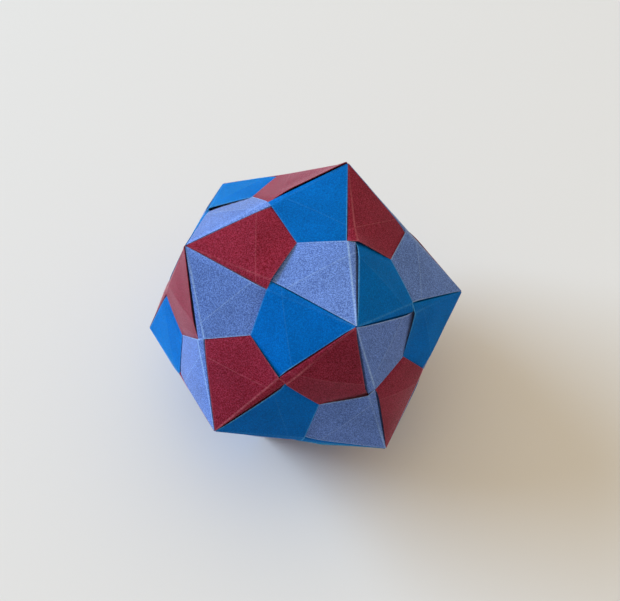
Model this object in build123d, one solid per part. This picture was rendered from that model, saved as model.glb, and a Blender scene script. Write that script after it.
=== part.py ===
from build123d import *
import os
from math import acos, cos, degrees, radians, sin, sqrt, tan

# A ball of 30 folded paper units that hold each other by tabs in pockets.
# Each unit lies along one edge of an icosahedron and shows one kite on each of the two faces beside that edge.
# The origin is on the face that the ball rests on, under its middle. Z is up, and lengths are in millimetres.

# Driving dimensions of the ball and its paper
edge_length = 50.0          # corner to corner of the ball, which is the side of the square that makes one unit
paper_thickness = 0.15
layer_clearance = 0.1       # air between two layers of paper, one on the other
seam_gap = 0.15             # between two kites that lie side by side on a face
mitre_gap = 0.1             # from a mitred edge to the plane that two neighbouring units share

# Driving dimensions of a unit's band, tab and cross crease
band_setback = 1.0          # from an edge of the ball to the crease of a band, and to the mouth of a pocket
tab_reach = 6.0             # from an edge of the ball to the end of a tab inside its pocket
crease_width = 0.4
crease_depth = 0.05
cross_crease_share = 0.85   # where the cross crease meets the half edge, counted from the corner of the ball

# Which edges of the ball each colour of paper lies on: corners are named by their ring and their turn about Z
unit_edges = {
    "blue": [
        ("top_60", "top_300"), ("top_300", "upper_240"), ("upper_0", "lower_300"), ("top_180", "lower_180"),
        ("top_60", "upper_120"), ("lower_300", "bottom_240"), ("upper_0", "lower_60"), ("lower_180", "bottom_240"),
        ("upper_120", "bottom_120"), ("bottom_0", "bottom_120"),
    ],
    "lavender": [
        ("top_180", "top_300"), ("top_300", "upper_0"), ("upper_240", "lower_300"), ("upper_240", "lower_180"),
        ("top_180", "upper_120"), ("top_60", "lower_60"), ("lower_180", "bottom_120"), ("lower_60", "bottom_120"),
        ("bottom_240", "bottom_0"), ("upper_0", "bottom_0"),
    ],
    "burgundy": [
        ("top_180", "top_60"), ("top_180", "upper_240"), ("top_60", "upper_0"), ("top_300", "lower_300"),
        ("lower_180", "upper_120"), ("upper_240", "bottom_240"), ("upper_120", "lower_60"),
        ("bottom_240", "bottom_120"), ("lower_60", "bottom_0"), ("lower_300", "bottom_0"),
    ],
}

# Proportions of an icosahedron
golden_ratio = (1 + sqrt(5)) / 2
slope = acos(golden_ratio / sqrt(3))           # of the two faces beside an edge, down from that edge
half_corner = radians(30)                      # half the corner of a triangular face
third_turn = 120                               # degrees from one edge of a face to the next

half_edge = edge_length / 2
face_radius = edge_length / sqrt(3)            # from the middle of a face to its corners
face_inradius = face_radius / 2                # from the middle of a face to its edges
ball_inradius = edge_length * golden_ratio ** 2 / sqrt(12)

# The layers of paper on a face, each given by the depth of its upper side under the face
kite_depth = 0
tab_depth = kite_depth + paper_thickness + layer_clearance
base_depth = tab_depth + paper_thickness + layer_clearance

# The end of a band at the middle of its edge, clear of the step that the unit of that edge has there
band_end_gap = paper_thickness + seam_gap
band_landing = band_setback - layer_clearance  # where a band reaches the depth of its tab
hidden_setback = band_setback + layer_clearance

# A unit is drawn with its ridge along X and Z outwards. Its near face slopes down towards +Y.
face_out = Vector(0, sin(slope), cos(slope))
face_plane = Plane(origin=(0, 0, 0), x_dir=(1, 0, 0), z_dir=face_out)
near, far = 1, -1


def point_at(along, across):
    """A point on the near face: along the ridge from its middle, and across from the ridge."""
    return Vector(along, across)


def mirrored_in_kite(point):
    """The same point of the near kite, on the other side of the kite's long axis."""
    tip = point_at(half_edge, 0)
    axis = point_at(-cos(half_corner), sin(half_corner))
    offset = point - tip
    return tip + axis * (2 * offset.dot(axis)) - offset


def layer(outline, depth, thickness):
    """A flat layer of paper under the near face."""
    face = make_face(Polyline(*outline, close=True))
    return extrude(face_plane.offset(-depth) * face, amount=-thickness)


def section_point(across, depth, side):
    """A point of a section across the ridge, on or under the face of one side."""
    reach = across * cos(slope) - depth * sin(slope)
    height = -across * sin(slope) - depth * cos(slope)
    return Vector(side * reach, height)


def folded_strip(path, start, length):
    """A sheet with folds along the ridge. The path is the sheet's outer side, from the near to the far face."""
    steps = [(after - before).normalized() for before, after in zip(path, path[1:])]
    inward = [Vector(-step.Y, step.X) for step in steps]
    inner = []
    for point, before, after in zip(path, inward[:1] + inward, inward + inward[-1:]):
        inner.append(point + (before + after) * (paper_thickness / (1 + before.dot(after))))
    section = make_face(Polyline(*path, *reversed(inner), close=True))
    return extrude(Plane.YZ.offset(start) * section, amount=length)


def mitred(sheet, end, side):
    """Cut a sheet at the plane between two units, which holds a corner and the middles of a face and the ball."""
    away = Vector(-end * sin(half_corner), -side * cos(half_corner) * cos(slope), cos(half_corner) * sin(slope))
    corner = Vector(end * half_edge, 0, 0)
    return split(sheet, bisect_by=Plane(origin=corner + away * mitre_gap, z_dir=away), keep=Keep.TOP)


def make_base():
    """The bent rhombus under the pockets, with its ridge flattened to pass under the bands."""
    path = [
        section_point(face_inradius, base_depth, near),
        section_point(band_setback, base_depth, near),
        section_point(band_setback, base_depth, far),
        section_point(face_inradius, base_depth, far),
    ]
    base = folded_strip(path, -half_edge, edge_length)
    for end in (near, far):
        for side in (near, far):
            base = mitred(base, end, side)
    return base


def make_kite():
    """The kite that shows on the near face, with its cross crease."""
    seam_top = face_inradius - seam_gap / cos(half_corner)
    outline = [
        point_at(0, band_setback),
        point_at(half_edge - band_setback / tan(half_corner), band_setback),
        mirrored_in_kite(point_at(seam_gap, band_setback)),
        point_at(0, seam_top),
    ]
    kite = layer(outline, kite_depth, paper_thickness)

    axis = point_at(-cos(half_corner), sin(half_corner))
    crease_middle = point_at(half_edge, 0) + axis * (cross_crease_share * half_edge * cos(half_corner))
    along_axis = face_plane.from_local_coords(axis)
    crease_plane = Plane(
        origin=face_plane.from_local_coords(crease_middle), x_dir=along_axis, z_dir=along_axis.cross(face_out)
    )
    groove = make_face(Polyline((-crease_width, crease_depth), (0, -crease_depth), (crease_width, crease_depth),
                                close=True))
    return kite - extrude(crease_plane * groove, amount=half_edge, both=True)


def make_fold_back():
    """The layer that joins a kite to the base: it steps under the next kite and folds back at the mitred edge."""
    def fold_end(inset):
        return point_at(-half_edge + hidden_setback / tan(half_corner) + inset / sin(half_corner), hidden_setback)

    def fold_top(inset):
        return point_at(0, face_inradius - inset / cos(half_corner))

    step_top = fold_top(mitre_gap + seam_gap).Y - paper_thickness * tan(half_corner)
    step = [
        point_at(0, hidden_setback),
        point_at(paper_thickness, hidden_setback),
        point_at(paper_thickness, step_top),
        point_at(0, step_top),
    ]
    hidden = [step[1], step[2], fold_top(mitre_gap), fold_end(mitre_gap)]
    fold_inset = mitre_gap + paper_thickness
    fold = [fold_end(mitre_gap), fold_top(mitre_gap), fold_top(fold_inset), fold_end(fold_inset)]

    step_wall = layer(step, kite_depth, tab_depth + paper_thickness - kite_depth)
    fold_wall = layer(fold, tab_depth, base_depth + paper_thickness - tab_depth)
    return step_wall + layer(hidden, tab_depth, paper_thickness) + fold_wall


def make_band_and_tab():
    """The band that bends over the next edge of the ball, and the tab that it ends in."""
    path = [
        section_point(band_setback + paper_thickness, kite_depth, near),
        section_point(band_setback, kite_depth, near),
        section_point(band_landing, tab_depth, far),
        section_point(tab_reach, tab_depth, far),
    ]
    band = folded_strip(path, -half_edge, half_edge - band_end_gap)
    for side in (near, far):
        band = mitred(band, far, side)
    # Drawn over this unit's own ridge, then turned about the near face to the next edge
    face_axis = Axis(face_plane.from_local_coords(point_at(0, face_inradius)), face_out)
    return band.rotate(face_axis, third_turn)


def make_unit():
    """One folded sheet: the base and, turned half round for its other end, two kites with their folds and tabs."""
    end = make_kite() + make_fold_back() + make_band_and_tab()
    return make_base() + end + end.rotate(Axis.Z, 180)


def make_corners():
    """The twelve corners of the ball, by ring and turn."""
    rings = {
        "top": (face_radius, ball_inradius, 60),
        "upper": (face_radius * golden_ratio, face_inradius / golden_ratio, 0),
        "lower": (face_radius * golden_ratio, -face_inradius / golden_ratio, 60),
        "bottom": (face_radius, -ball_inradius, 0),
    }
    corners = {}
    for ring, (radius, height, first_turn) in rings.items():
        for turn in range(first_turn, 360, third_turn):
            outwards = Vector(radius, 0).rotate(Axis.Z, turn)
            corners[f"{ring}_{turn}"] = outwards + Vector(0, 0, ball_inradius + height)
    return corners


def make_ball():
    """All units in their places, by node name."""
    unit = make_unit()
    corners = make_corners()
    middle = Vector(0, 0, ball_inradius)
    ball = {}
    for colour, edges in unit_edges.items():
        for number, (first, second) in enumerate(edges, start=1):
            ridge_middle = (corners[first] + corners[second]) / 2
            place = Plane(
                origin=ridge_middle, x_dir=corners[second] - corners[first], z_dir=ridge_middle - middle
            )
            ball[f"{colour}_unit_{number:02d}"] = place * unit
    return ball


def main():
    os.makedirs("parts", exist_ok=True)
    for name, unit in make_ball().items():
        export_step(unit, f"parts/{name}.step")


if __name__ == "__main__":
    main()
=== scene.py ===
"""A kusudama ball of thirty folded paper units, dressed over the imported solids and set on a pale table."""

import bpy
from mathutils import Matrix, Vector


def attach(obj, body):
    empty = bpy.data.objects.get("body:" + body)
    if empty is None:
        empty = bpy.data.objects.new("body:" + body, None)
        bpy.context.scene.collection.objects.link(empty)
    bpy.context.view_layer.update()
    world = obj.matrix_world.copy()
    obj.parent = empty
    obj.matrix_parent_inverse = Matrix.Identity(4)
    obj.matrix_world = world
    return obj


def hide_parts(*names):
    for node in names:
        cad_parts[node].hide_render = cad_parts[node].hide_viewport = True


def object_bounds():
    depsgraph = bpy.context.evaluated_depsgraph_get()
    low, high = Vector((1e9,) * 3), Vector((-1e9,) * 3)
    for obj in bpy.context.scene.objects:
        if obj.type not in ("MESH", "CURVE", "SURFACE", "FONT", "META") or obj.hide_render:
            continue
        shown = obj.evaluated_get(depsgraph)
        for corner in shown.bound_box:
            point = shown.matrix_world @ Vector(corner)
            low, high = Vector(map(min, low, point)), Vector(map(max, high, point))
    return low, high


bl_info = {
    "name": "Kusudama Paper Ball",
    "version": (1, 0, 0),
    "blender": (4, 5, 0),
    "location": "3D View > Sidebar > Paper Ball",
    "description": "Folds the thirty paper units of a kusudama ball and sets the ball on a table",
    "category": "Add Mesh",
}

import random
from math import acos, atan2, cos, pi, radians, sin, sqrt, tan

import bmesh
import bpy
from bpy.props import FloatProperty, FloatVectorProperty, PointerProperty
from mathutils import Matrix, Vector, noise

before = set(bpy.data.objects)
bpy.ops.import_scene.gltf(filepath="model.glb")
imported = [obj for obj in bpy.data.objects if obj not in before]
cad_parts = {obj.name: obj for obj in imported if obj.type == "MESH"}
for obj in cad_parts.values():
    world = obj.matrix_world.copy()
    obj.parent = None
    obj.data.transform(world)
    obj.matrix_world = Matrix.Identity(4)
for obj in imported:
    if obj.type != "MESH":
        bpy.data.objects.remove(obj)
cad_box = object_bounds()

# Proportions of an icosahedron
GOLDEN_RATIO = (1 + sqrt(5)) / 2
SLOPE = acos(GOLDEN_RATIO / sqrt(3))        # of the two faces beside an edge, down from that edge
HALF_CORNER = radians(30)                   # half the corner of a triangular face
THIRD_TURN = 120                            # degrees from one corner of a ring to the next

# The ball's size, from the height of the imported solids
BALL_HEIGHT = cad_box[1].z - cad_box[0].z
EDGE_LENGTH = BALL_HEIGHT * sqrt(3) / GOLDEN_RATIO ** 2
BALL_MIDDLE = Vector((0, 0, BALL_HEIGHT / 2))

# Roles of the sheet's vertices while it is folded, where 0 is a vertex with no role
FOLD_LINE, CREASE, SHOULDER, LANDING, TAB_END = range(1, 6)
ROLE = "fold_role"
SHEET_MAP = "sheet"
TOUCH = 1e-6                                # metres within which a point lies on a line

# Folds of a sheet, in thicknesses of its paper
CLOSE_CUT_IN_SHEETS = 2                     # from the cross crease to the cuts beside it
ROUNDING_IN_SHEETS = 0.7                    # of the folds of a band
TUCK_IN_SHEETS = 1.4                        # how far a seam slips under the next kite

# Other measures of the folds
ROUNDING_SEGMENTS = 2
LEAST_SHOULDER = 1 / 3                      # of the setback of a band
SIDE_DROP = 0.6                             # share of the cross crease that is lost at a kite's sides
TUCK_RUN = 3                                # slope down under the next kite, in depths of the tabs
TUCK_WIDTH = 0.0016                         # metres from a seam to where its kite is no longer tucked
TUCK_TURN = radians(80)                     # the same, as a turn about the middle of the face
MOUTH_RUN = 1 / 3                           # share of the half edge over which the mouth of a pocket opens
OPENING_REACH = 1 / 2                       # share of a face's inner radius that an opening lifts
SLOT_START = 0.1                            # share of the half edge over which a wide slot opens
SLOT_END = 0.15                             # and over which it closes towards the corner
SHARP_ANGLE = radians(35)                   # a fold that turns more than this has a sharp shade
RESTING = -0.9                              # a face whose outward direction has a lower Z lies on the table

# How kites differ by chance, in shares of the usual cross crease, mouth and seam
LEAST_CREASE = 0.6
MOST_CREASE = 1.3
LEAST_MOUTH = 0.6
MOST_MOUTH = 1.3
LEAST_SEAM = 0.3
MOST_SEAM = 1.4
UNEVENNESS = 0.00006                        # metres that the paper waves up and down
UNEVEN_SCALE = 1.3                          # of those waves, in the face's inner radius
UNEVEN_SPREAD = 50                          # how far apart the kites' own places in the noise may lie

# Kites whose pocket stands wide open, by unit and corner of the ball, with the height of the opening
OPEN_MOUTHS = {
    ("burgundy_unit_01", "top_60"): 0.0008,
    ("burgundy_unit_02", "top_180"): 0.0006,
}

# Kites whose mouth stands back from the band beside it, with the width that this adds to the slot
WIDE_SLOTS = {
    ("blue_unit_01", "top_300"): 0.0004,
    ("blue_unit_02", "top_300"): 0.0003,
    ("blue_unit_02", "upper_240"): 0.0006,
    ("lavender_unit_02", "top_300"): 0.0004,
    ("lavender_unit_02", "upper_0"): 0.0003,
    ("burgundy_unit_04", "top_300"): 0.0004,
    ("burgundy_unit_04", "lower_300"): 0.0005,
}

# Kites with a stronger or weaker cross crease than the others, with its height
CREASE_HEIGHTS = {
    ("blue_unit_01", "top_300"): 0.0015,
    ("burgundy_unit_01", "top_180"): 0.0013,
    ("burgundy_unit_04", "top_300"): 0.0016,
    ("lavender_unit_01", "top_180"): 0.0004,
}

# Kites whose seam stands off the next kite, with the height at its outer end
RAISED_SEAMS = {
    ("blue_unit_05", "upper_120"): 0.0009,
    ("blue_unit_03", "upper_0"): 0.0009,
    ("burgundy_unit_01", "top_180"): 0.0008,
    ("burgundy_unit_02", "upper_240"): 0.0006,
    ("burgundy_unit_03", "top_60"): 0.0011,
    ("lavender_unit_03", "lower_300"): 0.001,
}

# Grain of the paper: scales are per metre, and limits are values of the noise
FINE_DETAIL = 3
FINE_ROUGHNESS = 0.7
SLOW_ROUGHNESS = 0.5
FLECK_SCALE = 3400
FLECK_LIMITS = (0.41, 0.59)                 # between paper and fleck
FIBRE_SCALE = 2600
FIBRE_LIMITS = (0.35, 0.65)
FIBRE_SHADES = (-0.2, 0.2)                  # added to the shade of the mottling
FIBRE_RELIEF = 0.6                          # height of the fibres, where that of the flecks is 1
MOTTLING_SCALE = 110
MOTTLING_DETAIL = 2
MOTTLING_LIMITS = (0.3, 0.7)
MOTTLING_SHADES = (0.92, 1.06)
ROUGHNESS_LIMITS = (0.3, 0.7)
PAPER_ROUGHNESS = (0.56, 0.68)
PAINTED_TOP_LIGHT_DEPTH = 0.002                         # metres from the top of the ball to where its paper gets no more painted light
RELIEF_STRENGTH = 0.25
RELIEF_HEIGHT = 0.0002
SHEEN_ROUGHNESS = 0.3

# Wear of the folds, with a painted highlight along them
RIM = 0.00022                               # metres that a line of wear and painted highlight reaches to each side
RIM_REACH = 1.8                             # the same along a mouth and a seam, in rims
BAND_REACH = 2.2                            # and along the crease of a band
CROSS_WEAR_AND_HIGHLIGHT = 0.5                            # share of the wear and painted highlight that the cross crease has
AXIS_WEAR_AND_HIGHLIGHT = 0.06                            # and the faint crease along the kite
STRETCH_SCALE = 35                           # of the stretches whose wear and painted highlight are stronger than on others
STRETCH_DETAIL = 1
STRETCH_LIMITS = (0.38, 0.58)
STRETCH_SHARES = (0.25, 1.0)
PATCH_SCALE = 1300                          # of the small patches that break up the worn fibres and painted highlight
PATCH_LIMITS = (0.34, 0.66)
PATCH_SHARES = (0.45, 1.0)

# The camera: where it stands from the middle of the ball, in edges of the ball, and how it is turned
CAMERA_OFFSET_IN_EDGES = Vector((0.0929, -2.3672, 4.4984))
CAMERA_PAN = radians(0.865)
CAMERA_TILT = radians(28.383)
CAMERA_ROLL = radians(-2.24)
SENSOR_WIDTH = 36.0
CAMERA_LENS = 49.866
NEAREST_SEEN = 0.01

# The window: the direction to it, its distance and its width
WINDOW_DIRECTION = Vector((-0.84, 0.35, 0.43))
WINDOW_DISTANCE = 4.0
WINDOW_WIDTH = 2.4

# The ceiling: the direction to where it is brightest
CEILING_DIRECTION = Vector((0.08, 0.25, 0.96))

# The table
TABLE_WIDTH = 6.0
TABLE_ROUGHNESS = 0.8
TABLE_GLOSS = 0.2


class BallSizes(bpy.types.PropertyGroup):
    """Sizes of the ball's paper units."""

    edge_length: FloatProperty(
        name="Edge", description="Corner to corner of the ball",
        default=EDGE_LENGTH, unit="LENGTH")
    paper_thickness: FloatProperty(
        name="Paper", description="Thickness of the paper",
        default=0.0002, precision=5, unit="LENGTH")
    band_setback: FloatProperty(
        name="Band", description="From an edge of the ball to a band's crease, at the middle of the edge",
        default=0.0015, precision=5, unit="LENGTH")
    tip_setback: FloatProperty(
        name="Band at the tip", description="The same at a corner of the ball",
        default=0.00028, precision=5, unit="LENGTH")
    tab_reach: FloatProperty(
        name="Tab", description="Length of the tab inside its pocket",
        default=0.005, precision=5, unit="LENGTH")
    mouth_gap: FloatProperty(
        name="Mouth gap", description="From the shoulder of a band to the mouth of the pocket beside it",
        default=0.0004, precision=5, unit="LENGTH")
    shoulder_depth: FloatProperty(
        name="Shoulder depth", description="From a face of the ball down to the shoulder of a band",
        default=0.00005, precision=5, unit="LENGTH")
    tab_depth: FloatProperty(
        name="Tab depth", description="From a face of the ball down to the tabs",
        default=0.00095, precision=5, unit="LENGTH")
    base_depth: FloatProperty(
        name="Base depth", description="From a face of the ball down to the bases",
        default=0.0016, precision=5, unit="LENGTH")
    crease_height: FloatProperty(
        name="Cross crease", description="How far the cross crease stands up",
        default=0.0009, precision=5, unit="LENGTH")
    crease_share: FloatProperty(
        name="Crease place", description="Where the cross crease meets the half edge, from the corner",
        default=0.85, subtype="FACTOR")
    mouth_opening: FloatProperty(
        name="Mouth", description="How far a pocket stands open",
        default=0.00022, precision=5, unit="LENGTH")
    seam_opening: FloatProperty(
        name="Seam", description="How far a kite's seam stands off the next kite",
        default=0.00028, precision=5, unit="LENGTH")
    grid_step: FloatProperty(
        name="Grid", description="Spacing of the cuts that let the sheet bend",
        default=0.0012, precision=5, unit="LENGTH")


class PaperLooks(bpy.types.PropertyGroup):
    """Colours of the three papers, their flecks and their rubbed folds, which also carry a painted highlight.
    """

    blue: FloatVectorProperty(
        name="Blue", description="Colour of the blue paper",
        default=(0.0, 0.115, 0.45), subtype="COLOR")
    blue_fleck: FloatVectorProperty(
        name="Blue fleck", description="Colour of its flecks",
        default=(0.0, 0.2, 0.62), subtype="COLOR")
    blue_worn: FloatVectorProperty(
        name="Blue worn and highlight", description="Colour of its rubbed folds with their painted highlight",
        default=(0.1, 0.4, 0.74), subtype="COLOR")
    lavender: FloatVectorProperty(
        name="Lavender", description="Colour of the lavender paper",
        default=(0.15, 0.268, 0.65), subtype="COLOR")
    lavender_fleck: FloatVectorProperty(
        name="Lavender fleck", description="Colour of its flecks",
        default=(0.035, 0.075, 0.28), subtype="COLOR")
    lavender_worn: FloatVectorProperty(
        name="Lavender worn and highlight", description="Colour of its rubbed folds with their painted highlight",
        default=(0.42, 0.62, 0.92), subtype="COLOR")
    burgundy: FloatVectorProperty(
        name="Burgundy", description="Colour of the burgundy paper",
        default=(0.16, 0.003, 0.012), subtype="COLOR")
    burgundy_fleck: FloatVectorProperty(
        name="Burgundy fleck", description="Colour of its flecks",
        default=(0.37, 0.042, 0.09), subtype="COLOR")
    burgundy_worn: FloatVectorProperty(
        name="Burgundy worn and highlight", description="Colour of its rubbed folds with their painted highlight",
        default=(0.8, 0.27, 0.32), subtype="COLOR")


class StageLooks(bpy.types.PropertyGroup):
    """Colours of the table and of the light."""

    table: FloatVectorProperty(
        name="Table", description="Colour of the table",
        default=(0.74, 0.74, 0.735), subtype="COLOR")
    window_light: FloatVectorProperty(
        name="Window", description="Colour of the window light",
        default=(0.72, 0.98, 1.3), max=2.0, subtype="COLOR")
    window_level: FloatProperty(
        name="Window level", description="Light that the window throws on a surface facing it",
        default=1.05)
    ceiling_light: FloatVectorProperty(
        name="Ceiling", description="Light from where the ceiling is brightest",
        default=(1.37, 1.1, 0.7), max=2.0, subtype="COLOR")
    backdrop: FloatVectorProperty(
        name="Backdrop", description="What shows beyond the table",
        default=(0.76, 0.76, 0.755), subtype="COLOR")
    wall_light: FloatVectorProperty(
        name="Walls", description="Light from level with the table",
        default=(0.14, 0.18, 0.26), subtype="COLOR")


def corners_of_ball(sizes):
    """The twelve corners of the ball, by ring and turn about Z."""
    face_radius = sizes.edge_length / sqrt(3)
    wide_radius = face_radius * GOLDEN_RATIO
    wide_height = face_radius / 2 / GOLDEN_RATIO
    rings = {
        "top": (face_radius, BALL_HEIGHT / 2, 60),
        "upper": (wide_radius, wide_height, 0),
        "lower": (wide_radius, -wide_height, 60),
        "bottom": (face_radius, -BALL_HEIGHT / 2, 0),
    }
    corners = {}
    for ring, (radius, height, first_turn) in rings.items():
        for turn in range(first_turn, 360, THIRD_TURN):
            level = BALL_MIDDLE + Vector((0, 0, height))
            outwards = Vector((radius * cos(radians(turn)), radius * sin(radians(turn)), 0))
            corners[f"{ring}_{turn}"] = level + outwards
    return corners


def ends_of_unit(node, corners):
    """The two corners of the ball that a packed unit reaches, found from the middle of its solid."""
    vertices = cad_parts[node].data.vertices
    middle = sum((vertex.co for vertex in vertices), Vector()) / len(vertices)
    outwards = middle - BALL_MIDDLE
    nearest = sorted(corners, key=lambda name: outwards.angle(corners[name] - BALL_MIDDLE))
    return sorted(nearest[:2])


def place_of_unit(first, second):
    """From a unit's own axes, ridge along X and Z outwards, to its place on the ball."""
    middle = (first + second) / 2
    along = (second - first).normalized()
    out = (middle - BALL_MIDDLE).normalized()
    across = out.cross(along)
    turn = Matrix((along, across, out)).transposed()
    return Matrix.Translation(middle) @ turn.to_4x4()


def smooth_step(low, high, value):
    """0 below low, 1 above high, and smooth between them."""
    share = min(max((value - low) / (high - low), 0), 1)
    return share * share * (3 - 2 * share)


class SheetLayout:
    """The flat layout of one end of a unit, on its near face: X along the ridge from its middle, Y across."""

    def __init__(self, sizes):
        self.sizes = sizes
        self.half_edge = sizes.edge_length / 2
        self.face_inradius = sizes.edge_length / sqrt(12)
        self.corner = Vector((self.half_edge, 0, 0))
        self.axis = Vector((-cos(HALF_CORNER), sin(HALF_CORNER), 0))
        self.side = Vector((sin(HALF_CORNER), cos(HALF_CORNER), 0))
        self.next_edge = Vector((-sin(HALF_CORNER), cos(HALF_CORNER), 0))
        self.over_edge = Vector((cos(HALF_CORNER), sin(HALF_CORNER), 0))
        self.crease_place = sizes.crease_share * self.half_edge * cos(HALF_CORNER)

    def in_kite(self, point):
        """Along the kite's long axis from the corner, and across it towards the band."""
        offset = point - self.corner
        return offset.dot(self.axis), offset.dot(self.side)

    def mirrored(self, point):
        """The same point on the other side of the kite's long axis."""
        along, across = self.in_kite(point)
        return self.corner + self.axis * along - self.side * across

    def turned(self, point):
        """The same point of the next kite on this face, a third of a turn on about the middle of the face."""
        middle = Vector((0, self.face_inradius, 0))
        return middle + Matrix.Rotation(radians(THIRD_TURN), 3, "Z") @ (point - middle)

    def setback(self, along):
        """From an edge of the ball to the crease or mouth, at a distance along that edge from the corner."""
        share = min(along / self.half_edge, 1)
        return self.sizes.tip_setback + (self.sizes.band_setback - self.sizes.tip_setback) * share

    def beside_next_edge(self, point):
        """Along the next edge of the ball from the corner, and inwards from that edge."""
        offset = point - self.corner
        return offset.dot(self.next_edge), -offset.dot(self.over_edge)

    def band_section(self, along):
        """A section of the folded band, from its crease: its shoulder, its landing and its tab's end."""
        sizes = self.sizes
        setback = self.setback(along)

        def beyond_edge(inwards, depth):
            """A point of the section, from its distance to the edge and its depth under the next face."""
            out = setback + inwards * cos(2 * SLOPE) - depth * sin(2 * SLOPE)
            down = -inwards * sin(2 * SLOPE) - depth * cos(2 * SLOPE)
            return Vector((out, down))

        shoulder = max(setback - sizes.mouth_gap, setback * LEAST_SHOULDER)
        landing = setback + sizes.paper_thickness
        return [
            Vector((0, 0)),
            beyond_edge(shoulder, sizes.shoulder_depth),
            beyond_edge(landing, sizes.tab_depth),
            beyond_edge(landing + sizes.tab_reach, sizes.tab_depth),
        ]

    def folded_over(self, point):
        """The place of a flat point beyond the crease once the band and tab are folded."""
        along, inwards = self.beside_next_edge(point)
        setback = self.setback(along)
        beyond = setback - inwards
        section = self.band_section(along)
        for start, end in zip(section, section[1:]):
            step = end - start
            place = start + step * (beyond / step.length)
            if beyond <= step.length + TOUCH:
                break
            beyond -= step.length
        on_edge = self.corner + self.next_edge * along
        return on_edge + self.over_edge * (place.x - setback) + Vector((0, 0, place.y))


def edges_between(sheet, role):
    """The edges whose two ends both have this role."""
    layer = sheet.verts.layers.int[ROLE]
    return [edge for edge in sheet.edges if all(vertex[layer] == role for vertex in edge.verts)]


def on_line(vertex, start, end):
    """True if a vertex lies on the line between two points."""
    along = (end - start).normalized()
    offset = vertex.co - start
    return (offset - along * offset.dot(along)).length < TOUCH


def extruded(sheet, edges):
    """Extrude edges and give the new vertices."""
    result = bmesh.ops.extrude_edge_only(sheet, edges=edges)
    return [item for item in result["geom"] if isinstance(item, bmesh.types.BMVert)]


def cut_across(sheet, origin, direction, offsets):
    """Cut the flat sheet along parallel lines, so that it can bend there."""
    for offset in offsets:
        everything = sheet.verts[:] + sheet.edges[:] + sheet.faces[:]
        bmesh.ops.bisect_plane(
            sheet, geom=everything, dist=TOUCH, plane_co=origin + direction * offset, plane_no=direction)


def make_flat_sheet(layout):
    """One end of a unit before folding: the kite, the part under the next kite, the band and the tab."""
    sizes = layout.sizes
    tip = layout.corner + layout.axis * (sizes.tip_setback / sin(HALF_CORNER))
    mouth_end = Vector((0, sizes.band_setback, 0))
    crease_end = layout.mirrored(mouth_end)
    top = Vector((0, layout.face_inradius, 0))
    hidden_reach = -layout.half_edge + sizes.band_setback / tan(HALF_CORNER) + sizes.paper_thickness
    hidden_end = Vector((hidden_reach, sizes.band_setback, 0))
    sheet = bmesh.new()
    role = sheet.verts.layers.int.new(ROLE)
    sheet.faces.new([sheet.verts.new(point) for point in (hidden_end, mouth_end, tip, crease_end, top)])

    # Cuts across and along the kite's long axis, with close cuts beside the cross crease
    step = sizes.grid_step
    length = (hidden_end - layout.corner).length
    beside = sizes.paper_thickness * CLOSE_CUT_IN_SHEETS
    stations = [layout.crease_place - beside, layout.crease_place, layout.crease_place + beside]
    stations += [step * count for count in range(1, int(length / step))
                 if abs(step * count - layout.crease_place) > beside + step / 2]
    half_width = int(layout.half_edge / step)
    rows = [step * count for count in range(-half_width, half_width + 1)]
    cut_across(sheet, layout.corner, layout.axis, stations)
    cut_across(sheet, layout.corner, layout.side, rows)

    for vertex in sheet.verts:
        if on_line(vertex, hidden_end, top):
            vertex[role] = FOLD_LINE
        elif on_line(vertex, tip, crease_end):
            vertex[role] = CREASE

    # The band and the tab, laid out flat beyond the crease
    for count, (before, after) in enumerate(((CREASE, SHOULDER), (SHOULDER, LANDING))):
        for vertex in extruded(sheet, edges_between(sheet, before)):
            section = layout.band_section(layout.beside_next_edge(vertex.co)[0])
            vertex.co += layout.over_edge * (section[count + 1] - section[count]).length
            vertex[role] = after
    tab_start = sizes.tab_reach / tan(HALF_CORNER) + sizes.band_setback
    tab_end = layout.half_edge - sizes.tab_reach / 2
    for vertex in extruded(sheet, edges_between(sheet, LANDING)):
        along = layout.beside_next_edge(vertex.co)[0]
        kept = tab_start + (tab_end - tab_start) * along / layout.half_edge
        vertex.co += layout.over_edge * sizes.tab_reach + layout.next_edge * (kept - along)
        vertex[role] = TAB_END

    # The sheet's own map: shares of an edge along the kite's long axis and across it
    sheet_map = sheet.loops.layers.uv.new(SHEET_MAP)
    for face in sheet.faces:
        for loop in face.loops:
            along, across = layout.in_kite(loop.vert.co)
            loop[sheet_map].uv = (along / sizes.edge_length, across / sizes.edge_length)

    mesh = bpy.data.meshes.new("flat_sheet")
    sheet.to_mesh(mesh)
    sheet.free()
    return mesh


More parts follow.
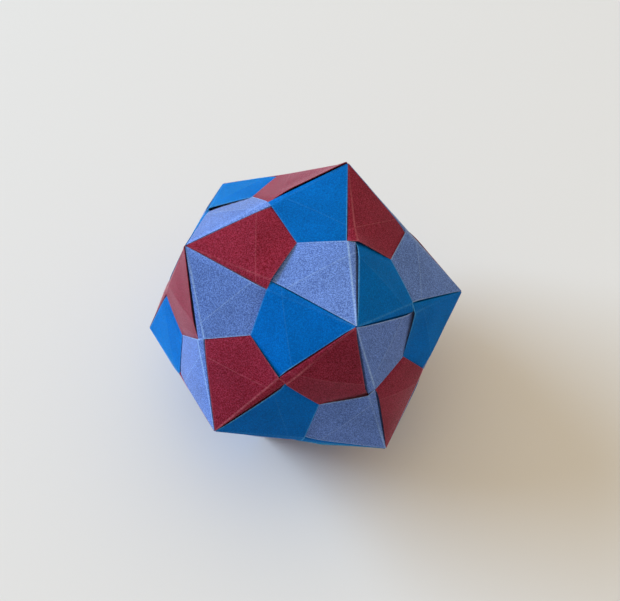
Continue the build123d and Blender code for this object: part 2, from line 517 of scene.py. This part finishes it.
class Kite:
    """How one kite of the ball lies: its openings, its bend and its own unevenness."""

    def __init__(self, layout, node, corner, flat):
        sizes = layout.sizes
        draw = random.Random(f"{node} {corner}")
        crease_share = draw.uniform(LEAST_CREASE, MOST_CREASE)
        mouth_share = draw.uniform(LEAST_MOUTH, MOST_MOUTH)
        seam_share = draw.uniform(LEAST_SEAM, MOST_SEAM)
        self.layout = layout
        self.flat = flat
        self.crease_height = CREASE_HEIGHTS.get((node, corner), sizes.crease_height * crease_share)
        self.mouth = OPEN_MOUTHS.get((node, corner), sizes.mouth_opening * mouth_share)
        self.seam = RAISED_SEAMS.get((node, corner), sizes.seam_opening * seam_share)
        self.slot = WIDE_SLOTS.get((node, corner), 0)
        self.drift = Vector((draw.uniform(0, 1), draw.uniform(0, 1), draw.uniform(0, 1)))

    def bend(self, point, crease_height):
        """The height of the kite's two panels, which rise to the cross crease and fall towards the sides."""
        layout = self.layout
        along, across = layout.in_kite(point)
        half_width = max(along * tan(HALF_CORNER), TOUCH)
        if along < layout.crease_place:
            tent = along / layout.crease_place
        else:
            tent = 1 - (along - layout.crease_place) / (2 * layout.face_inradius - layout.crease_place)
        side_share = min(abs(across) / half_width, 1)
        return crease_height * tent * (1 - SIDE_DROP * side_share ** 2) - layout.sizes.crease_height / 2

    def drawn_back(self, point):
        """How far a flat point lies back from the edge of the ball, where the mouth is a wide slot."""
        layout = self.layout
        along, across = layout.in_kite(point)
        towards_mouth = min(max(-across / max(along * tan(HALF_CORNER), TOUCH), 0), 1)
        place = point.x / layout.half_edge
        ends = smooth_step(0, SLOT_START, place) * smooth_step(0, SLOT_END, 1 - place)
        return self.slot * ends * towards_mouth ** 2

    def height(self, point):
        """How far a flat point of the front stands above the face, or below it."""
        layout = self.layout
        sizes = layout.sizes
        tuck = sizes.paper_thickness * TUCK_IN_SHEETS
        if point.x < -TOUCH:
            # Under the next kite, which bends as this one does a third of a turn on
            under = sizes.tab_depth * smooth_step(0, TUCK_RUN * sizes.tab_depth, -point.x)
            return self.bend(layout.turned(point), sizes.crease_height * LEAST_CREASE) - max(under, tuck)

        rise = self.bend(point, self.crease_height)
        opening_reach = layout.face_inradius * OPENING_REACH

        # The mouth of the pocket, which stands open from near the middle of its edge to the tip
        mouth_share = smooth_step(0, layout.half_edge * MOUTH_RUN, point.x)
        mouth_fade = max(1 - (point.y - sizes.tip_setback) / opening_reach, 0)
        rise += self.mouth * mouth_share * mouth_fade ** 2

        # The seam on the next kite, open towards its outer end
        next_along, next_in = layout.beside_next_edge(point)
        seam_share = 1 - min(max(next_in / layout.face_inradius, 0), 1)
        seam_fade = max(1 - (layout.half_edge - next_along) / opening_reach, 0)
        rise += self.seam * seam_share * seam_fade ** 2

        # Slow unevenness of folded paper
        place = point / layout.face_inradius + self.drift * UNEVEN_SPREAD
        rise += UNEVENNESS * noise.noise(place * UNEVEN_SCALE)

        # The seam from the middle of the edge slips under the next kite, up to the middle of the face
        turn = atan2(max(point.x, TOUCH), layout.face_inradius - point.y)
        dip = tuck * (1 - smooth_step(0, TUCK_WIDTH, point.x))
        dip *= 1 - smooth_step(0, TUCK_TURN, turn)
        if self.flat:
            rise = min(rise, 0)
        return rise - dip


def fold_end(flat_sheet, kite):
    """Fold one end of a unit on its near face, with the half of the base under it."""
    layout = kite.layout
    sizes = layout.sizes
    sheet = bmesh.new()
    sheet.from_mesh(flat_sheet)
    role = sheet.verts.layers.int[ROLE]

    # The fold-back and the base, from the fold line to the ridge
    wall = extruded(sheet, edges_between(sheet, FOLD_LINE))
    wall_edges = [edge for edge in sheet.edges if all(vertex in wall for vertex in edge.verts)]
    ridge = extruded(sheet, wall_edges)

    # The front with its bends, then the band and tab
    hidden = set(wall + ridge)
    for vertex in sheet.verts:
        if vertex in hidden:
            continue
        flat = vertex.co.copy()
        if vertex[role] in (SHOULDER, LANDING, TAB_END):
            vertex.co = layout.folded_over(flat)
        else:
            vertex.co = flat + Vector((0, kite.drawn_back(flat), kite.height(flat)))
    for vertex in wall:
        vertex.co.z = -sizes.base_depth
    reach = layout.half_edge - sizes.band_setback / tan(HALF_CORNER)
    ridge.sort(key=lambda vertex: vertex.co.x)
    for count, vertex in enumerate(ridge):
        share = count / (len(ridge) - 1)
        vertex.co = Vector((reach * (2 * share - 1), sizes.base_depth * tan(SLOPE), -sizes.base_depth))

    for folded in (CREASE, SHOULDER):
        bmesh.ops.bevel(
            sheet, geom=edges_between(sheet, folded), offset=sizes.paper_thickness * ROUNDING_IN_SHEETS,
            offset_type="OFFSET", segments=ROUNDING_SEGMENTS, profile=0.5, affect="EDGES", material=-1)
    bmesh.ops.transform(sheet, matrix=Matrix.Rotation(-SLOPE, 4, "X"), verts=sheet.verts)
    return sheet


def link_piece(name, mesh):
    """A new object of this mesh in the scene."""
    piece = bpy.data.objects.new(name, mesh)
    bpy.context.scene.collection.objects.link(piece)
    return piece


def fold_unit(node, layout, flat_sheet, corners):
    """One folded paper unit, in its place on the ball."""
    first, second = ends_of_unit(node, corners)
    place = place_of_unit(corners[first], corners[second])
    unit = bmesh.new()
    for corner, half_turn in ((second, 0), (first, pi)):
        turn = Matrix.Rotation(half_turn, 4, "Z")
        out = (place @ turn).to_3x3() @ Vector((0, sin(SLOPE), cos(SLOPE)))
        end = fold_end(flat_sheet, Kite(layout, node, corner, flat=out.z < RESTING))
        bmesh.ops.transform(end, matrix=place @ turn, verts=end.verts)
        mesh = bpy.data.meshes.new("end")
        end.to_mesh(mesh)
        end.free()
        unit.from_mesh(mesh)
        bpy.data.meshes.remove(mesh)
    bmesh.ops.remove_doubles(unit, verts=unit.verts, dist=TOUCH)

    # Nothing goes through the table
    for vertex in unit.verts:
        vertex.co.z = max(vertex.co.z, 0)
    unit.verts.layers.int.remove(unit.verts.layers.int[ROLE])

    # The sheet gets the thickness of its paper, inwards
    name = node.replace("unit", "sheet")
    mesh = bpy.data.meshes.new(name)
    unit.to_mesh(mesh)
    unit.free()
    piece = link_piece(name, mesh)
    paper = piece.modifiers.new("paper", "SOLIDIFY")
    paper.thickness = layout.sizes.paper_thickness
    paper.offset = -1
    thick = bpy.data.meshes.new_from_object(piece.evaluated_get(bpy.context.evaluated_depsgraph_get()))
    piece.modifiers.clear()
    piece.data = thick
    bpy.data.meshes.remove(mesh)
    thick.name = name
    thick.shade_smooth()
    thick.set_sharp_from_angle(angle=SHARP_ANGLE)
    return piece


def feed(tree, socket, value):
    """Link a socket to this one, or set its value."""
    if isinstance(value, bpy.types.NodeSocket):
        tree.links.new(value, socket)
    else:
        socket.default_value = value


def calculate(tree, operation, *values):
    """A math node, and its result."""
    node = tree.nodes.new("ShaderNodeMath")
    node.operation = operation
    for socket, value in zip(node.inputs, values):
        feed(tree, socket, value)
    return node.outputs[0]


def ramp(tree, value, start, end, low=0.0, high=1.0):
    """A smooth change from low to high while the value goes from start to end."""
    node = tree.nodes.new("ShaderNodeMapRange")
    node.interpolation_type = "SMOOTHSTEP"
    for name, number in (("From Min", start), ("From Max", end), ("To Min", low), ("To Max", high)):
        feed(tree, node.inputs[name], number)
    feed(tree, node.inputs["Value"], value)
    return node.outputs["Result"]


def mix_colours(tree, share, first, second, blend="MIX"):
    """A mix of two colours."""
    node = tree.nodes.new("ShaderNodeMix")
    node.data_type = "RGBA"
    node.blend_type = blend
    inputs = {socket.identifier: socket for socket in node.inputs}
    feed(tree, inputs["Factor_Float"], share)
    feed(tree, inputs["A_Color"], first)
    feed(tree, inputs["B_Color"], second)
    return next(socket for socket in node.outputs if socket.identifier == "Result_Color")


def noise_value(tree, place, scale, detail=FINE_DETAIL, roughness=FINE_ROUGHNESS):
    """A noise texture of a scale per metre."""
    node = tree.nodes.new("ShaderNodeTexNoise")
    feed(tree, node.inputs["Vector"], place)
    node.inputs["Scale"].default_value = scale
    node.inputs["Detail"].default_value = detail
    node.inputs["Roughness"].default_value = roughness
    return node.outputs["Fac"]


def split_axes(tree, vector):
    """The X, Y and Z of a vector, by name."""
    node = tree.nodes.new("ShaderNodeSeparateXYZ")
    feed(tree, node.inputs[0], vector)
    return node.outputs


def new_group(name, inputs, outputs):
    """A shader node group with named sockets: the tree, its input sockets by name and its output node."""
    tree = bpy.data.node_groups.new(name, "ShaderNodeTree")
    for socket_name, kind in inputs:
        tree.interface.new_socket(socket_name, in_out="INPUT", socket_type=f"NodeSocket{kind}")
    for socket_name, kind in outputs:
        tree.interface.new_socket(socket_name, in_out="OUTPUT", socket_type=f"NodeSocket{kind}")
    start = tree.nodes.new("NodeGroupInput")
    end = tree.nodes.new("NodeGroupOutput")
    return tree, start.outputs, end


def make_grain_group():
    """Flecks, slow mottling, painted light on the top of the ball and the fibres' relief of coloured paper.
    """
    tree, given, end = new_group(
        "Paper grain",
        [("Place", "Vector"), ("Paper", "Color"), ("Fleck", "Color"), ("Fleck share", "Float"),
         ("Painted top light", "Float")],
        [("Color", "Color"), ("Height", "Float"), ("Roughness", "Float")])
    flecks = noise_value(tree, given["Place"], FLECK_SCALE)
    fibres = noise_value(tree, given["Place"], FIBRE_SCALE)
    mottling = noise_value(tree, given["Place"], MOTTLING_SCALE, MOTTLING_DETAIL, SLOW_ROUGHNESS)
    share = calculate(tree, "MULTIPLY", ramp(tree, flecks, *FLECK_LIMITS), given["Fleck share"])
    colour = mix_colours(tree, share, given["Paper"], given["Fleck"])

    # One shade for the mottling, the fibres and the painted light that makes the paper lighter near the top
    # of the ball
    mottled = ramp(tree, mottling, *MOTTLING_LIMITS, *MOTTLING_SHADES)
    shade = calculate(tree, "ADD", mottled, ramp(tree, fibres, *FIBRE_LIMITS, *FIBRE_SHADES))
    height = split_axes(tree, given["Place"])["Z"]
    top = ramp(tree, height, BALL_HEIGHT - PAINTED_TOP_LIGHT_DEPTH, BALL_HEIGHT - PAINTED_TOP_LIGHT_DEPTH / 2)
    # Painted light: the paper is made lighter on the top face of the ball
    shade = calculate(tree, "MULTIPLY_ADD", top, given["Painted top light"], shade)
    grey = tree.nodes.new("ShaderNodeCombineColor")
    for socket in grey.inputs:
        feed(tree, socket, shade)
    feed(tree, end.inputs["Color"], mix_colours(tree, 1.0, colour, grey.outputs["Color"], "MULTIPLY"))

    relief = calculate(tree, "ADD", flecks, calculate(tree, "MULTIPLY", fibres, FIBRE_RELIEF))
    feed(tree, end.inputs["Height"], relief)
    feed(tree, end.inputs["Roughness"], ramp(tree, flecks, *ROUGHNESS_LIMITS, *PAPER_ROUGHNESS))
    return tree


def make_wear_and_highlight_group(layout):
    """Lighter colour along the folds and creases of a sheet, by the sheet's own map: partly worn fibres and
    partly a painted highlight where the folds catch the light.
    """
    tree, given, end = new_group(
        "Fold wear and highlight",
        [("Place", "Vector"), ("Sheet", "Vector"), ("Paper", "Color"), ("Worn", "Color"), ("Wear and highlight", "Float"),
         ("Rim wear and highlight", "Float")],
        [("Color", "Color")])
    sizes = layout.sizes
    rim = RIM / sizes.edge_length
    axes = split_axes(tree, given["Sheet"])
    along = axes["X"]
    across = axes["Y"]
    width = calculate(tree, "ABSOLUTE", across)

    def line(distance, reach):
        """1 on a line and 0 beyond its reach."""
        return ramp(tree, calculate(tree, "ABSOLUTE", distance), 0.0, reach, 1.0, 0.0)

    # Along the crease of the band and the mouth of the pocket, which taper towards the tip
    inwards = calculate(tree, "SUBTRACT", calculate(tree, "MULTIPLY", along, sin(HALF_CORNER)),
                        calculate(tree, "MULTIPLY", width, cos(HALF_CORNER)))
    beside = calculate(tree, "ADD", calculate(tree, "MULTIPLY", along, cos(HALF_CORNER)),
                       calculate(tree, "MULTIPLY", width, sin(HALF_CORNER)))
    taper = 2 * (sizes.band_setback - sizes.tip_setback) / sizes.edge_length
    setback = calculate(tree, "MULTIPLY_ADD", beside, taper, sizes.tip_setback / sizes.edge_length)
    from_side = calculate(tree, "SUBTRACT", inwards, setback)
    band_side = calculate(tree, "GREATER_THAN", across, 0.0)
    mouth_side = calculate(tree, "SUBTRACT", 1.0, band_side)
    mouth = calculate(tree, "MULTIPLY", line(from_side, rim * RIM_REACH), mouth_side)
    on_band = calculate(tree, "ADD", from_side, rim)
    crease = calculate(tree, "MULTIPLY", line(on_band, rim * BAND_REACH), band_side)

    # Along the seam that lies on the next kite, half an edge from the corner
    from_seam = calculate(tree, "SUBTRACT", 0.5, beside)
    seam = calculate(tree, "MULTIPLY", line(from_seam, rim * RIM_REACH), band_side)

    # The cross crease, and the faint crease along the axis from the tip to it
    from_crease = calculate(tree, "SUBTRACT", along, layout.crease_place / sizes.edge_length)
    cross = calculate(tree, "MULTIPLY", line(from_crease, rim), CROSS_WEAR_AND_HIGHLIGHT)
    axis = calculate(tree, "MULTIPLY", line(across, rim), calculate(tree, "LESS_THAN", from_crease, 0.0))
    faint = calculate(tree, "MULTIPLY", axis, AXIS_WEAR_AND_HIGHLIGHT)

    # Wear and painted highlight, stronger on some stretches than on others, and in small patches
    stretch_noise = noise_value(tree, given["Place"], STRETCH_SCALE, STRETCH_DETAIL, SLOW_ROUGHNESS)
    stretches = ramp(tree, stretch_noise, *STRETCH_LIMITS, *STRETCH_SHARES)
    patches = ramp(tree, noise_value(tree, given["Place"], PATCH_SCALE), *PATCH_LIMITS, *PATCH_SHARES)
    rims = calculate(tree, "MULTIPLY", calculate(tree, "MAXIMUM", mouth, seam), given["Rim wear and highlight"])
    creases = calculate(tree, "MULTIPLY", crease, given["Wear and highlight"])
    worn_and_lit_folds = calculate(tree, "MULTIPLY", calculate(tree, "MAXIMUM", creases, rims), stretches)
    crossing = calculate(tree, "MULTIPLY", calculate(tree, "MAXIMUM", cross, faint), given["Wear and highlight"])
    mask = calculate(tree, "MULTIPLY", calculate(tree, "MAXIMUM", worn_and_lit_folds, crossing), patches)
    # Wear and painted highlight: the paper is mixed towards a lighter colour along the folds
    feed(tree, end.inputs["Color"], mix_colours(tree, mask, given["Paper"], given["Worn"]))
    return tree


def shared_group(name, make):
    """The shared node group of this name, made the first time it is asked for."""
    return bpy.data.node_groups.get(name) or make()


def opaque(colour):
    """A colour with full cover."""
    return (*colour, 1.0)


def make_paper(name, layout, colours, finish):
    """Matte coloured paper with its grain, and worn folds that also carry a painted highlight.

    The colours are those of the paper, its flecks and its rubbed folds with their painted highlight. The
    finish has its shares by name, among them the painted light on the top of the ball.
    """
    colour, fleck, worn_and_highlight = colours
    material = bpy.data.materials.new(name)
    material.use_nodes = True
    tree = material.node_tree
    shader = tree.nodes["Principled BSDF"]
    place = tree.nodes.new("ShaderNodeTexCoord").outputs["Object"]
    sheet = tree.nodes.new("ShaderNodeUVMap")
    sheet.uv_map = SHEET_MAP

    grain = tree.nodes.new("ShaderNodeGroup")
    grain.node_tree = shared_group("Paper grain", make_grain_group)
    feed(tree, grain.inputs["Place"], place)
    grain.inputs["Paper"].default_value = opaque(colour)
    grain.inputs["Fleck"].default_value = opaque(fleck)
    grain.inputs["Fleck share"].default_value = finish["fleck_share"]
    grain.inputs["Painted top light"].default_value = finish["painted_top_light"]

    folds = tree.nodes.new("ShaderNodeGroup")
    folds.node_tree = shared_group("Fold wear and highlight", lambda: make_wear_and_highlight_group(layout))
    feed(tree, folds.inputs["Place"], place)
    feed(tree, folds.inputs["Sheet"], sheet.outputs["UV"])
    feed(tree, folds.inputs["Paper"], grain.outputs["Color"])
    # The lighter colour of the rubbed folds, partly worn fibres and partly a painted highlight
    folds.inputs["Worn"].default_value = opaque(worn_and_highlight)
    folds.inputs["Wear and highlight"].default_value = finish["wear_and_highlight"]
    folds.inputs["Rim wear and highlight"].default_value = finish["rim_wear_and_highlight"]

    relief = tree.nodes.new("ShaderNodeBump")
    relief.inputs["Strength"].default_value = RELIEF_STRENGTH
    relief.inputs["Distance"].default_value = RELIEF_HEIGHT
    feed(tree, relief.inputs["Height"], grain.outputs["Height"])
    feed(tree, shader.inputs["Base Color"], folds.outputs["Color"])
    feed(tree, shader.inputs["Roughness"], grain.outputs["Roughness"])
    feed(tree, shader.inputs["Normal"], relief.outputs["Normal"])
    shader.inputs["Specular IOR Level"].default_value = finish["gloss"]
    shader.inputs["Sheen Weight"].default_value = finish["sheen"]
    shader.inputs["Sheen Roughness"].default_value = SHEEN_ROUGHNESS
    shader.inputs["Sheen Tint"].default_value = opaque(finish["sheen_tint"])
    return material


class FoldUnits:
    """Folds the units of one colour and puts them in place of their solids."""

    colour = ""
    # The finish sets the wear and painted highlight of the folds, and the painted light on the top of the
    # ball
    finish = {}

    def execute(self, context):
        """Make the paper of this colour, then fold each of its units."""
        sizes = context.scene.ball_sizes
        looks = context.scene.paper_looks
        layout = SheetLayout(sizes)
        corners = corners_of_ball(sizes)
        flat_sheet = make_flat_sheet(layout)
        slot = f"{self.colour}_paper"
        colours = [getattr(looks, self.colour + part) for part in ("", "_fleck", "_worn")]
        paper = make_paper(slot, layout, colours, self.finish)
        nodes = sorted(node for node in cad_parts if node.startswith(self.colour))
        if not nodes:
            raise RuntimeError(f"the frame has no {self.colour} units")
        for node in nodes:
            piece = fold_unit(node, layout, flat_sheet, corners)
            piece.data.materials.append(paper)
            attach(piece, "root")
            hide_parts(node)
        bpy.data.meshes.remove(flat_sheet)
        return {"FINISHED"}


class FoldBlueUnits(FoldUnits, bpy.types.Operator):
    """Fold the ten blue units"""

    bl_idname = "paper_ball.fold_blue"
    bl_label = "Fold blue units"
    colour = "blue"
    finish = {
        "fleck_share": 0.4,
        "painted_top_light": 0.0,
        "wear_and_highlight": 0.25,
        "rim_wear_and_highlight": 0.9,
        "gloss": 0.04,
        "sheen": 0.35,
        "sheen_tint": (0.0, 0.75, 0.6),
    }


class FoldLavenderUnits(FoldUnits, bpy.types.Operator):
    """Fold the ten lavender units"""

    bl_idname = "paper_ball.fold_lavender"
    bl_label = "Fold lavender units"
    colour = "lavender"
    finish = {
        "fleck_share": 0.75,
        "painted_top_light": 0.2,
        "wear_and_highlight": 0.65,
        "rim_wear_and_highlight": 0.6,
        "gloss": 0.12,
        "sheen": 0.5,
        "sheen_tint": (0.85, 0.9, 0.85),
    }


class FoldBurgundyUnits(FoldUnits, bpy.types.Operator):
    """Fold the ten burgundy units"""

    bl_idname = "paper_ball.fold_burgundy"
    bl_label = "Fold burgundy units"
    colour = "burgundy"
    finish = {
        "fleck_share": 0.65,
        "painted_top_light": 0.05,
        "wear_and_highlight": 0.3,
        "rim_wear_and_highlight": 0.2,
        "gloss": 0.06,
        "sheen": 0.9,
        "sheen_tint": (1.0, 0.65, 0.8),
    }


class SetStage(bpy.types.Operator):
    """Set the table, the light and the camera"""

    bl_idname = "paper_ball.set_stage"
    bl_label = "Set the stage"

    def execute(self, context):
        """Add the camera, the table and the light."""
        looks = context.scene.stage_looks
        self.add_camera(context)
        self.add_table(looks)
        self.add_window(context, looks)
        self.add_room(context, looks)
        context.scene.view_settings.view_transform = "Standard"
        return {"FINISHED"}

    def add_camera(self, context):
        """The camera, where the photo was taken from."""
        data = bpy.data.cameras.new("photo_camera")
        data.sensor_fit = "HORIZONTAL"
        data.sensor_width = SENSOR_WIDTH
        data.lens = CAMERA_LENS
        data.clip_start = NEAREST_SEEN
        camera = bpy.data.objects.new("photo_camera", data)
        context.scene.collection.objects.link(camera)
        turn = Matrix.Rotation(CAMERA_PAN, 4, "Z") @ Matrix.Rotation(CAMERA_TILT, 4, "X")
        turn = turn @ Matrix.Rotation(CAMERA_ROLL, 4, "Z")
        edge = context.scene.ball_sizes.edge_length
        camera.matrix_world = Matrix.Translation(BALL_MIDDLE + CAMERA_OFFSET_IN_EDGES * edge) @ turn
        context.scene.camera = camera

    def add_table(self, looks):
        """A wide pale table under the ball."""
        table = bmesh.new()
        bmesh.ops.create_grid(table, x_segments=2, y_segments=2, size=TABLE_WIDTH / 2)
        mesh = bpy.data.meshes.new("table")
        table.to_mesh(mesh)
        table.free()
        floor = link_piece("table", mesh)
        material = bpy.data.materials.new("table_white")
        material.use_nodes = True
        shader = material.node_tree.nodes["Principled BSDF"]
        shader.inputs["Base Color"].default_value = opaque(looks.table)
        shader.inputs["Roughness"].default_value = TABLE_ROUGHNESS
        shader.inputs["Specular IOR Level"].default_value = TABLE_GLOSS
        mesh.materials.append(material)

    def add_window(self, context, looks):
        """A square window that lights the ball from the left."""
        window = bpy.data.lights.new("window", "AREA")
        window.shape = "SQUARE"
        window.size = WINDOW_WIDTH
        window.color = looks.window_light
        window.energy = looks.window_level * pi ** 2 * WINDOW_DISTANCE ** 2
        lamp = bpy.data.objects.new("window", window)
        direction = WINDOW_DIRECTION.normalized()
        turn = direction.to_track_quat("Z", "Y").to_matrix().to_4x4()
        lamp.matrix_world = Matrix.Translation(BALL_MIDDLE + direction * WINDOW_DISTANCE) @ turn
        context.scene.collection.objects.link(lamp)

    def add_room(self, context, looks):
        """The light of the walls and the ceiling, and the plain backdrop that shows beyond the table."""
        room = bpy.data.worlds.new("room")
        room.use_nodes = True
        tree = room.node_tree
        towards_ceiling = tree.nodes.new("ShaderNodeVectorMath")
        towards_ceiling.operation = "DOT_PRODUCT"
        feed(tree, towards_ceiling.inputs[0], tree.nodes.new("ShaderNodeTexCoord").outputs["Generated"])
        towards_ceiling.inputs[1].default_value = CEILING_DIRECTION.normalized()
        upwards = calculate(tree, "MAXIMUM", towards_ceiling.outputs["Value"], 0.0)
        overhead = calculate(tree, "MULTIPLY", upwards, upwards)
        light = mix_colours(tree, overhead, opaque(looks.wall_light), opaque(looks.ceiling_light))
        rays = tree.nodes.new("ShaderNodeLightPath").outputs
        seen = calculate(tree, "MAXIMUM", rays["Is Camera Ray"], rays["Is Glossy Ray"])
        seen = calculate(tree, "MAXIMUM", seen, rays["Is Transmission Ray"])
        colour = mix_colours(tree, seen, light, opaque(looks.backdrop))
        feed(tree, tree.nodes["Background"].inputs["Color"], colour)
        context.scene.world = room


PROPERTY_GROUPS = {"ball_sizes": BallSizes, "paper_looks": PaperLooks, "stage_looks": StageLooks}
OPERATORS = (FoldBlueUnits, FoldLavenderUnits, FoldBurgundyUnits, SetStage)


class PaperBallPanel(bpy.types.Panel):
    """The paper ball's sizes, colours and steps"""

    bl_idname = "VIEW3D_PT_paper_ball"
    bl_label = "Paper Ball"
    bl_space_type = "VIEW_3D"
    bl_region_type = "UI"
    bl_category = "Paper Ball"

    def draw(self, context):
        """List the sizes and colours, then a button for each step."""
        for name, group in PROPERTY_GROUPS.items():
            box = self.layout.box()
            for entry in group.__annotations__:
                box.prop(getattr(context.scene, name), entry)
        for operator in OPERATORS:
            self.layout.operator(operator.bl_idname)


def register():
    """Add the classes, and their settings to the scene."""
    for name, group in PROPERTY_GROUPS.items():
        bpy.utils.register_class(group)
        setattr(bpy.types.Scene, name, PointerProperty(type=group))
    for operator in OPERATORS:
        bpy.utils.register_class(operator)
    bpy.utils.register_class(PaperBallPanel)


def unregister():
    """Take the classes and settings away again."""
    bpy.utils.unregister_class(PaperBallPanel)
    for operator in reversed(OPERATORS):
        bpy.utils.unregister_class(operator)
    for name, group in PROPERTY_GROUPS.items():
        delattr(bpy.types.Scene, name)
        bpy.utils.unregister_class(group)


def main():
    """Set the stage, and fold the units."""
    register()
    bpy.ops.paper_ball.set_stage()
    bpy.ops.paper_ball.fold_blue()
    bpy.ops.paper_ball.fold_lavender()
    bpy.ops.paper_ball.fold_burgundy()


if __name__ == "__main__":
    main()
